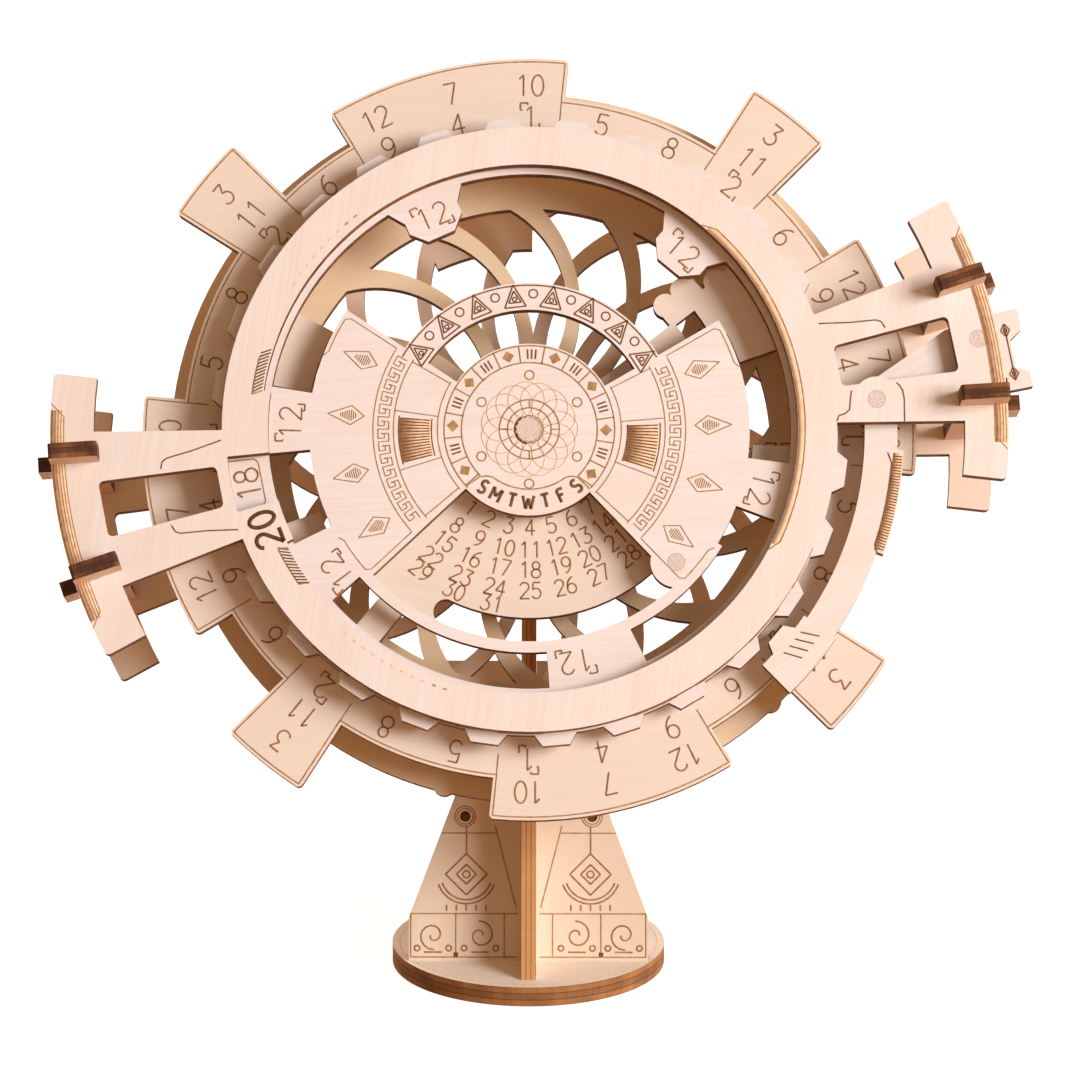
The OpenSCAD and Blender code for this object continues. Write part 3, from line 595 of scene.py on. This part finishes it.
def disc_ornament():
    """Cells with plain marks round a guilloche of overlapping circles."""
    place = face_of_dial(YEAR_W)
    strokes = [ring(4.3), ring(5.9), arc(16.7, -44, 224), arc(13.3, -44, 224)]
    strokes += [radial(a, 4.3, 5.9) for a in (0, 90, 180, 270)]
    strokes += [radial(-45 + 17.8 * i, 13.3, 16.7) for i in range(16)]
    strokes += [ring(0.9, polar(10.8, a)) for a in (30, 90, 150, 210, 270, 330)]
    engrave("disc_lines", "stand", place, strokes, FINE)
    loops = [ring(3.6, polar(5.9, a)) for a in range(0, 360, 24)]
    engrave("disc_guilloche", "stand", place, loops, 0.2, BURNT_PALE)
    mark_row("disc_diamonds", "stand", place, 15, -36.1, 35.6, 8, (1.7, 1.7), lean=45)
    for i, shift in enumerate((-3, 0, 3)):
        mark_row("disc_bars_%d" % i, "stand", place, 15, -18.3 + shift, 35.6, 7, (1.9, 0.35),
                 finish=BURNT_MID)
    # A dark crescent on the left of the centre hole is painted shade, where the gap round the dowel
    # looks deep and dark
    burn = [arc(2.85, 120, 262, chord=0.4)]
    engrave("centre_hole_painted_shade", "stand", place, burn, 0.4, BURNT_DARK)
    engrave("centre_hole_rim", "stand", place, [ring(2.75)], 0.16, BURNT_MID)


def wing_lozenge(r, a):
    """A pointed lozenge with a hatched heart, standing along the radius."""
    shape = [[(4.6, 0), (0, 1.9), (-2.6, 0), (0, -1.9), (4.6, 0)]]
    for i in range(8):
        x = -0.9 + 0.42 * i
        half = 1.15 * (1 - abs(x) / 2.9) if x > 0 else 1.15 * (1 + x / 1.6)
        shape.append([(x, -half), (x, half)])
    return placed(shape, polar(r, a), a)


def wing_key(a0, a1, r, count):
    """A square key pattern along an arc."""
    points = []
    pitch = (a1 - a0) / count
    for i in range(count):
        for share, rise in ((0, -1), (0, 1), (0.72, 1), (0.72, -0.2), (0.36, -0.2), (0.36, 0.4),
                            (0.36, -1), (1, -1)):
            points.append(polar(r + 1.05 * rise, a0 + (i + share) * pitch))
    return points


def wing_ornament():
    """Plain borders, a key pattern, lozenges and a fan of hatching on the two wings."""
    place = face_of_dial(YEAR_W)
    lines, fans, grounds = [], [], []
    for a0, a1 in ((148, 225), (-45, 32)):
        a0, a1 = a0 + YEAR_TURN, a1 + YEAR_TURN
        mid = (a0 + a1) / 2
        lines += [arc(r, a0 + 2.2, a1 - 2.2) for r in (18, 26.6, 30.6)]
        lines += [radial(a, 18, 26.6) for a in (a0 + 3.2, mid - 13, mid + 13, a1 - 3.2)]
        for end, s in ((a0, 1), (a1, -1)):
            lines.append([polar(30.6, end + s * 1.8), polar(41.4, end + s * 1.4),
                          *arc(42.3, end + s * 2.4, end + s * 12),
                          polar(WING_R - 0.1, end + s * 13.5)])
        lines.append(wing_key(a0 + 4, a1 - 4, 28.6, 14))
        for a in (mid - 28, mid - 9.5, mid + 9.5, mid + 28):
            lines += wing_lozenge(35, a)
        fans += [radial(mid - 10 + i * 1.54, 19.6, 25.2) for i in range(14)]
        fans += [arc(r, mid - 11, mid + 11) for r in (19.2, 25.6)]
        grounds.append(arc(22.4, mid - 10.4, mid + 10.4))
    engrave("wing_lines", "stand", place, lines, 0.22)
    engrave("wing_fans", "stand", place, fans, 0.26, BURNT_MID)
    engrave("wing_fan_grounds", "stand", face_of_dial(YEAR_W + UNDER), grounds, 6.2,
            BURNT_PALE)


def arch_ornament():
    """Triangles and rings in turn along the arch over the disc."""
    place = face_of_dial(YEAR_W)
    mid = (ARCH_IN + ARCH_OUT) / 2
    lines, triangles = [arc(ARCH_OUT - 0.5, 30, 150)], []
    for i in range(15):
        a = 34 + i * 8 + YEAR_TURN
        if i % 2:
            lines.append(ring(0.85, polar(mid + 0.5, a)))
        else:
            centre = polar(mid - 0.3, a)
            triangles.append([polar(2.75, a + turn, centre) for turn in (0, 130, 230, 0)])
            triangles.append([polar(1.5, a + turn, centre) for turn in (0, 125, 235, 0)])
            lines.append(ring(0.4, polar(mid - 0.5, a)))
    engrave("arch_lines", "stand", place, lines, FINE, BURNT_MID)
    engrave("arch_triangles", "stand", place, triangles, 0.3, BURNT_MID)


# ---- Bezel, brackets and latch ----

# Dashes and slanted hatches by the bezel's inner edge: radius, first angle, pitch,
# count, size of one, lean and finish
BEZEL_ROWS = {
    "bezel_dashes_top": (54.1, 129.3, 2.4, 2, (0.32, 0.9), 0, BURNT_LINE),
    "bezel_dashes_upper": (54.1, 134.1, 2.4, 7, (0.24, 0.9), 0, BURNT_PALE),
    "bezel_dashes_lower": (54.2, 229, 2.35, 9, (0.26, 0.8), 0, BURNT_PALE),
    "bezel_dashes_end": (54.2, 250.2, 2.35, 2, (0.32, 0.8), 0, BURNT_LINE),
    "bezel_hatch_upper": (53.6, 164, 0.75, 12, (2.2, 0.3), 35, BURNT_MID),
    "bezel_hatch_lower": (53.6, 207, 0.75, 12, (2.2, 0.3), -35, BURNT_MID),
}


def bezel_lines():
    """Rows of marks, borders, a scorched strip by the window, and the century."""
    place = face_of_dial(BEZEL_W)
    for name, (r, start, pitch, count, size, lean, finish) in BEZEL_ROWS.items():
        mark_row(name, "frame", place, r, start, pitch, count, size, lean=lean, finish=finish)
    borders = [[polar(52.6, 164), polar(54.5, 165.4), *arc(54.5, 165.4, 173.4),
                polar(52.6, 172.4)],
               [polar(52.6, 216), polar(54.5, 215), *arc(54.5, 215, 206.6), polar(52.6, 207.2)],
               [polar(52.5, -27.5), polar(53.8, -25), *arc(53.8, -25, 47), polar(52.5, 50)]]
    engrave("bezel_borders", "frame", place, borders, FINE)
    engrave("bezel_strip", "frame", face_of_dial(BEZEL_W + UNDER), [arc(53.1, -26, 48.5)], 1.3,
            BURNT_PALE)
    engrave("century_number", "frame", place, written("20", 5.1, 55.2, 201.8, spacing=0.8),
            0.8, BURNT_DARK)


# Radii of the lines along the outer bars
BAR_LINES = (91.35, 91.9, 92.45, 93.0)


def bracket_lines():
    """Step lines on the arms and the scorched bands along the outer bars."""
    place = face_of_dial(BEZEL_W)
    lines, bands, fills = [], [], []
    for side, s in ((0, 1), (180, -1), (180, 1)):
        f = FRAME_TURN + side
        lines.append([polar(60.2, f + s * 8.6), polar(66, f + s * 7), polar(71, f + s * 6.1),
                      polar(71.9, f + s * 5.6), polar(72.3, f + s * 4.5)])
    for f in (FRAME_TURN, FRAME_TURN + 180):
        bands += [arc(r, f - 13.2, f + 13.2) for r in BAR_LINES]
        bands.append([polar(93.4, f - 14), polar(90.8, f - 12.4), *arc(90.8, f - 12.4, f + 12.4),
                      polar(93.4, f + 14)])
        fills.append(arc(92.1, f - 13.2, f + 13.2))
    px, py = polar(PIVOT_R, FRAME_TURN - PIVOT_BACK)
    for side in (((-4.9, 1.7), (-5.2, -0.6), (-5.3, -2.1), (-6.2, -2.9), (-7.4, -3.3),
                  (-7.8, -4.4)),
                 ((3.9, 3.3), (4.6, 2.6), (5.1, 1.7), (5.4, 0), (5.4, -2.1), (5.4, -4.4))):
        lines.append([(px + x, py + y) for x, y in side])
    engrave("bracket_lines", "frame", place, lines, FINE, BURNT_MID)
    engrave("bar_lines", "frame", place, bands, 0.2)
    engrave("bar_bands", "frame", face_of_dial(BEZEL_W + UNDER), fills, 2.6, BURNT_PALE)


def latch_lines():
    """Ticks for the thumb, short lines on the head and a chain of diamonds on the handle."""
    place = face_of_dial(YEAR_W)
    f = FRAME_TURN
    lines = [[polar(70.2, f - 15), polar(71.1, f - 16.6), *arc(71.1, f - 17, f - 30),
              polar(72.2, f - 31.4)]]
    for i in range(4):
        a = f - 53 + i * 1.5
        lines.append([polar(66.2, a), polar(69.6, a + 1.3)])
    chain = [[(-5.6, 0), (5.6, 0)]]
    for x in (-4.4, 4.4):
        chain += [[(x - 1.3, 0), (x, 0.9), (x + 1.3, 0), (x, -0.9), (x - 1.3, 0)],
                  [(x - 0.6, 0), (x, 0.4), (x + 0.6, 0), (x, -0.4), (x - 0.6, 0)]]
    px, py = polar(PIVOT_R, f - PIVOT_BACK)
    lines += placed(chain, (px + 26.4, py + 10.1), 101)
    engrave("latch_lines", "year_latch", place, lines, FINE, BURNT_MID)
    under = face_of_dial(YEAR_W + UNDER)
    engrave("latch_thumb_strip", "year_latch", under, [arc(72.2, f - 30.8, f - 15)], 1.9,
            BURNT_PALE)
    mark_row("latch_thumb_ticks", "year_latch", place, 72.2, f - 30.4, 0.45, 34, (1.8, 0.26),
             finish=BURNT_MID)


# ---- Stand ----

# Half widths of the stand's plate, and the heights up its face where each holds
PLATE_FOOT, PLATE_TOP = 24.2, 13.5
PLATE_KNEE_H, PLATE_TOP_H = 9, 37.6

# Places on the plate, out from its middle and up from the foot
HOLE_X, HOLE_H = 12.9, 29.4
PEG_X, PEG_H = 14.7, 1.3
MOTIF_X, MOTIF_H = 12.6, 17.6


def on_plate(x, h):
    """A point of a drawing on the plate: x from its middle, h up its face from the foot."""
    return (x, FOOT_V + h)


def plate_half(h):
    """Half width of the stand's plate at a height up its face."""
    if h <= PLATE_KNEE_H:
        return PLATE_FOOT
    share = (h - PLATE_KNEE_H) / (PLATE_TOP_H - PLATE_KNEE_H)
    return PLATE_FOOT + (PLATE_TOP - PLATE_FOOT) * share


def stand_holes():
    """Discs of painted shade in the plate's two holes, and small pegs at its foot."""
    for side, s in (("left", -1), ("right", 1)):
        # A dark disc half a millimetre inside each hole is painted shade, where the hole looks dark
        # through to the back
        mark_row("stand_hole_painted_shade_" + side, "stand", face_of_dial(PLATE_W + 0.5), 0, 0, 1, 1,
                 (2.7, 2.7), sides=24, finish=BURNT_DARK, centre=on_plate(s * HOLE_X, HOLE_H))
        mark_row("stand_peg_" + side, "stand", face_of_dial(PLATE_W), 0, 0, 1, 1, (0.9, 0.9),
                 finish=BURNT_DARK, centre=on_plate(s * PEG_X, PEG_H))


def stand_panels():
    """Cells at the plate's foot, slanted panels above, and rings round the holes."""
    panels = [[(2.2, 9.6), (plate_half(9.6) - 0.2, 9.6)],
              [(6.7, 26), (plate_half(26) - 0.2, 26)],
              [(2.2, 0.8), (23.8, 0.8), (23.8, 9.6)],
              [(2.5, 10.8), (6.8, 27.5)],
              [(4.9, 0.8), (4.9, 9.6)],
              [(14.7, 0.8), (14.7, 9.6)]]
    lines = []
    for s in (-1, 1):
        lines += [[on_plate(s * x, h) for x, h in panel] for panel in panels]
        lines += [ring(r, on_plate(s * HOLE_X, HOLE_H)) for r in (1.6, 2.1)]
    engrave("stand_lines", "stand", face_of_dial(PLATE_W), lines, FINE)


def spiral_cell(centre, turn):
    """A spiral over a short line, with a small ring at each side."""
    x, y = centre
    spiral = [polar(0.5 + i * 0.13, turn + i * 24, centre) for i in range(20)]
    rings = [ring(0.55, (x + side, y - 2.6)) for side in (-3.2, 3.2)]
    return [spiral, *rings, [(x - 1.8, y - 3.4), (x + 1.8, y - 3.4)]]


def stand_motifs():
    """A lozenge on a stem over two bows and five ticks, and spirals in the cells."""
    motifs = []
    for s in (-1, 1):
        middle = on_plate(s * MOTIF_X, MOTIF_H)
        motifs += [[polar(r, a, middle) for a in (0, 90, 180, 270, 0)] for r in (2.0, 4.2)]
        motifs += [ring(0.7, middle), arc(5.2, 200, 340, middle), arc(6, 200, 340, middle)]
        motifs.append([on_plate(s * MOTIF_X, 21.8), on_plate(s * MOTIF_X, 27.2)])
        for x in (-4, -2, 0, 2, 4):
            motifs.append([on_plate(s * MOTIF_X + x, 11.4), on_plate(s * MOTIF_X + x, 10.2)])
        for x, turn in ((9.8, 0), (19.3, 180)):
            motifs += spiral_cell(on_plate(s * x, 5.2), turn)
    engrave("stand_motifs", "stand", face_of_dial(PLATE_W), motifs, 0.34, BURNT_WARM)


def foot_lines():
    """Fine dashes round the foot's top."""
    top = Matrix.Translation((0, 0, FOOT_T * MM))
    mark_row("foot_dashes", "stand", top, 26.3, 0, 4, 90, (0.22, 1.1), finish=BURNT_PALE)


# ---- Dressing of the CAD nodes ----

# Sheets that lie across the dial's axis: how far behind the bezel's front, thickness,
# colour of the face, and the turn of its grain from level
DIAL_SHEETS = {
    "front_frame": (BEZEL_W, SHEET, PALE_WOOD, 82),
    "year_plate": (YEAR_W, SHEET, "#f6ede8", 4),
    "year_latch": (YEAR_W, SHEET, PALE_WOOD, 30),
    "front_spacer": (YEAR_W + SHEET, 2.7, PALE_WOOD, 0),
    "ear_washer": (YEAR_W + SHEET, 2.7, PALE_WOOD, 0),
    "latch_washer": (YEAR_W + SHEET + PLAY, 2.1, PALE_WOOD, 0),
    # The month plate's face is a little deeper and more tan than the pale wood: partly its own
    # tone, partly painted shade for the date table, which lies under the year plate
    "month_date_plate": (MONTH_W, SHEET, "#f2e1cf", -8),
    "month_sleeve": (MONTH_W + SHEET, 7.5, PALE_WOOD, 0),
    # The back wheel's face is the darker copy of the wood: painted shade, as it lies deep behind
    # the front sheets
    "month_back_wheel": (WHEEL_W, SHEET, PAINTED_SHADE_WOOD, 12),
    "middle_spacer": (WHEEL_W + SHEET + PLAY, 10.6, PALE_WOOD, 0),
    "frame_hub_ring": (HUB_RING_W, SHEET, PALE_WOOD, 0),
    "rear_frame": (REAR_W, SHEET, "#efdac4", 5),
    "rear_spacer": (REAR_W + SHEET + PLAY, 3.8, PALE_WOOD, 0),
    "hub_disc_front": (DISC_W, SHEET, PALE_WOOD, 0),
    "hub_disc_rear": (REAR_DISC_W, SHEET, PALE_WOOD, 0),
    "stand_plate": (PLATE_W, SHEET, "#e5cfb4", 88),
}

# Angles on the dial of the month wheel's blocks and of the frame's spacer boards
BLOCKS = {"upper_right": 28.5, "lower_right": 350.5, "upper_left": 160.5, "lower_left": 206.5}
BOARDS = {"right_upper": 7.5, "right_lower": -7.5, "left_upper": 172.5, "left_lower": 187.5}
BLOCK_R = 51.45


def dress(node, material):
    slots = NODES[node].data.materials
    slots.clear()
    slots.append(material)


def dress_dial():
    for node, (w, thickness, face, turn) in DIAL_SHEETS.items():
        start = HUB.dot(-OUT) + w
        dress(node, plywood("basswood_plywood_" + node, -OUT, start, along_dial(turn),
                            thickness, face))


def dress_blocks_and_boards():
    # The blocks' faces are the darker copy of the wood: painted shade inside the calendar
    for name, a in BLOCKS.items():
        outward = along_dial(a)
        start = HUB.dot(outward) + BLOCK_R - SHEET / 2
        dress("month_block_" + name,
              plywood("basswood_plywood_block_" + name, outward, start, OUT, face=PAINTED_SHADE_WOOD))
    # The boards' faces are a darker, warmer copy of the pale wood: painted shade, as they stand
    # between the frame's front and rear sheets
    for name, a in BOARDS.items():
        side = along_dial(FRAME_TURN + a + 90)
        start = HUB.dot(side) - SHEET / 2
        dress("spacer_board_" + name,
              plywood("basswood_plywood_board_" + name, side, start, OUT, face="#deb18e",
                      burn=0.5))


def dress_stand_and_dowels():
    level_up = Vector((0, 0, 1))
    dress("stand_rib", plywood("basswood_plywood_rib", RIGHT, -SHEET / 2, level_up,
                               face=STAND_WOOD, burn=-0.8))
    dress("base_disc", plywood("basswood_plywood_foot", level_up, 0, RIGHT, FOOT_T,
                               face="#fdf0dd", burn=-0.25))
    rod = dowel_wood()
    for name in ("centre_dowel", "ear_dowel", "latch_pivot_dowel", "latch_stop_dowel"):
        dress(name, rod)


# ---- Studio ----

def seen_directly(tree):
    """1 for rays from the camera, a reflection or a transmission, 0 for diffuse light."""
    rays = add(tree, "ShaderNodeLightPath").outputs
    seen = rays["Is Camera Ray"]
    for kind in ("Is Glossy Ray", "Is Transmission Ray"):
        seen = add(tree, "ShaderNodeMath", {0: seen, 1: rays[kind]}, operation="MAXIMUM").outputs[0]
    return seen


# White paper sweep: matt, it keeps the shadow and glows where the lamps don't reach it
def sweep():
    size = 3.0
    mesh = bpy.data.meshes.new("studio_floor")
    mesh.from_pydata([(-size, -size, 0), (size, -size, 0), (size, size, 0), (-size, size, 0)],
                     [], [(0, 1, 2, 3)])
    floor = bpy.data.objects.new("studio_floor", mesh)
    bpy.context.scene.collection.objects.link(floor)
    material, tree = new_material("white_paper_sweep")
    seen = seen_directly(tree)
    paper = add(tree, "ShaderNodeMix", {0: seen, 6: "#b98c5c", 7: "#b4b4b6"}, data_type="RGBA")
    glow = add(tree, "ShaderNodeMath", {0: seen, 1: FLOOR_GLOW}, operation="MULTIPLY")
    shade(tree, {"Base Color": paper.outputs[2], "Roughness": 0.9, "Emission Color": "#ffffff",
                 "Emission Strength": glow.outputs[0]})
    mesh.materials.append(material)


def sky():
    """White where it is seen, dim and warm as light."""
    world = bpy.data.worlds.new("studio_light")
    bpy.context.scene.world = world
    world.use_nodes = True
    tree = world.node_tree
    tree.nodes.clear()
    seen = seen_directly(tree)
    tint = add(tree, "ShaderNodeMix", {0: seen, 6: SKY_TINT, 7: "#ffffff"}, data_type="RGBA")
    strength = add(tree, "ShaderNodeMapRange", {0: seen, 1: 0, 2: 1, 3: SKY_LIGHT, 4: 1})
    light = add(tree, "ShaderNodeBackground",
                {"Color": tint.outputs[2], "Strength": strength.outputs[0]})
    add(tree, "ShaderNodeOutputWorld", {"Surface": light.outputs[0]})


def lamps():
    for name, (at, power, width, tint) in LAMPS.items():
        lamp = bpy.data.lights.new(name, "AREA")
        lamp.energy = power
        lamp.size = width
        lamp.color = colour(tint)[:3]
        holder = bpy.data.objects.new(name, lamp)
        holder.location = at
        aim = LAMP_AIM - holder.location
        holder.rotation_euler = aim.to_track_quat("-Z", "Y").to_euler()
        bpy.context.scene.collection.objects.link(holder)


def camera():
    lens = bpy.data.cameras.new("camera")
    lens.sensor_width = 36
    lens.lens = CAMERA_LENS
    lens.clip_start = 0.05
    holder = bpy.data.objects.new("camera", lens)
    turn = (Matrix.Rotation(math.radians(CAMERA_PAN), 4, "Z")
            @ Matrix.Rotation(math.radians(CAMERA_TILT), 4, "X")
            @ Matrix.Rotation(math.radians(CAMERA_ROLL), 4, "Z"))
    holder.matrix_world = Matrix.Translation(CAMERA_AT) @ turn
    bpy.context.scene.collection.objects.link(holder)
    bpy.context.scene.camera = holder


month_labels()
month_border()
date_table()
back_wheel_lines()
year_numbers()
weekday_letters()
disc_ornament()
wing_ornament()
arch_ornament()
bezel_lines()
bracket_lines()
latch_lines()
stand_holes()
stand_panels()
stand_motifs()
foot_lines()
dress_dial()
dress_blocks_and_boards()
dress_stand_and_dowels()
sweep()
sky()
lamps()
camera()
bpy.context.scene.view_settings.view_transform = "Standard"
